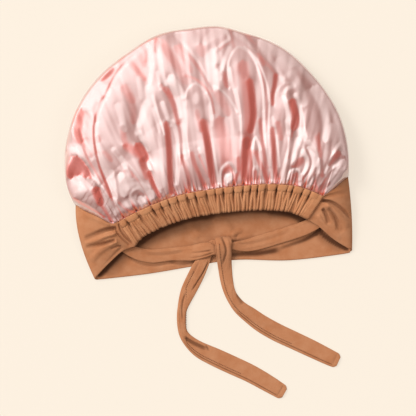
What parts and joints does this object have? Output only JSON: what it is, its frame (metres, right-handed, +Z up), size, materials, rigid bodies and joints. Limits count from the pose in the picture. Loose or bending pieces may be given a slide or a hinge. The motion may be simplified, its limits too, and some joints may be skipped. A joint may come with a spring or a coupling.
{
  "type": "sleep bonnet",
  "caption": "Soft satin sleep bonnet with a gathered elastic nape, a wide plain front band and two knotted ties, lying flat.",
  "frame": {"origin": "on the surface that the bonnet lies on, under the middle of the bonnet without its ties", "axes": "+Z up from the flat underside, +X to the right and +Y from the mouth towards the top of the crown, with the nape side up"},
  "size_m": [0.2874, 0.3732, 0.0394],
  "materials": {
    "satin": "glossy polyester satin, blush pink",
    "jersey": "matt brushed jersey, camel"
  },
  "bodies": {
    "root": {"satin_crown": "satin", "back_casing": "jersey", "front_band": "jersey", "tie_left": "jersey", "tie_right": "jersey"}
  },
  "joints": []
}
